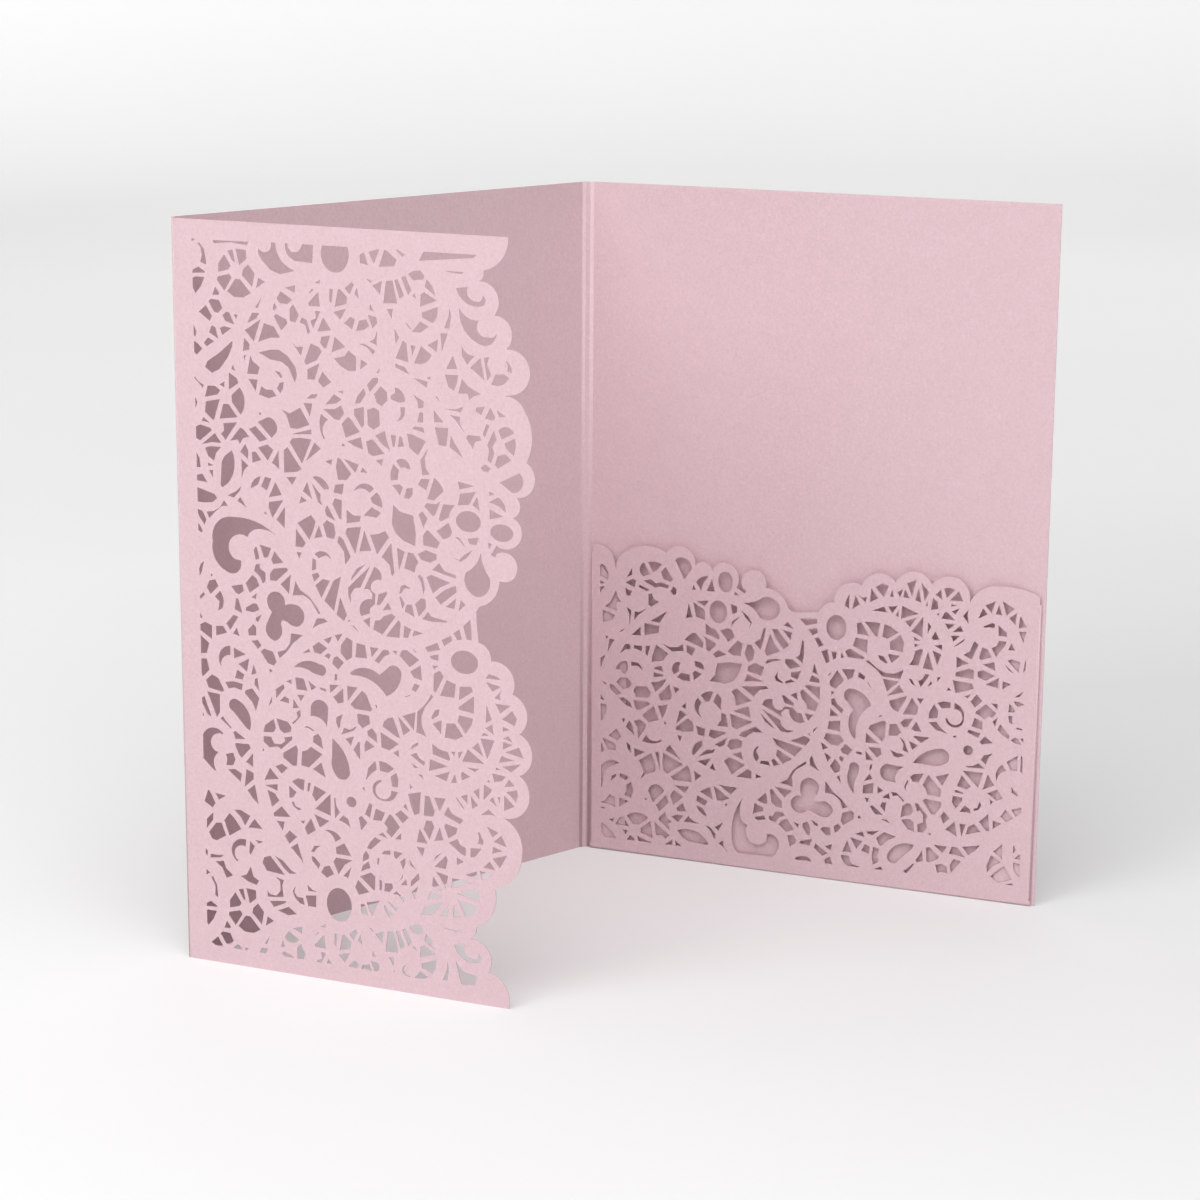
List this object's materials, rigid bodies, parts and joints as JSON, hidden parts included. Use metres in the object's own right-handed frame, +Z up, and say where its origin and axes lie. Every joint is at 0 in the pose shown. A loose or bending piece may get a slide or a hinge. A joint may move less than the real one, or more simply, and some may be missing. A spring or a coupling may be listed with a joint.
{
  "type": "pocket fold invitation",
  "caption": "Open laser-cut pocket fold card standing on its edges, with a lace gate flap, a middle panel, narrow spines and a pierced lace pocket.",
  "frame": {"origin": "centre of the bounding box's bottom face, on the surface the card stands on", "axes": "+Z up along the creases, +Y away from the viewer who looks into the open card, +X to that viewer's right"},
  "size_m": [0.218, 0.132, 0.185],
  "materials": {
    "pearl_card": "pearl pink card, satin",
    "glue": "dried adhesive strip"
  },
  "bodies": {
    "root": {"folded_card": "pearl_card", "right_glue_strip": "glue", "left_glue_strip": "glue"}
  },
  "joints": []
}
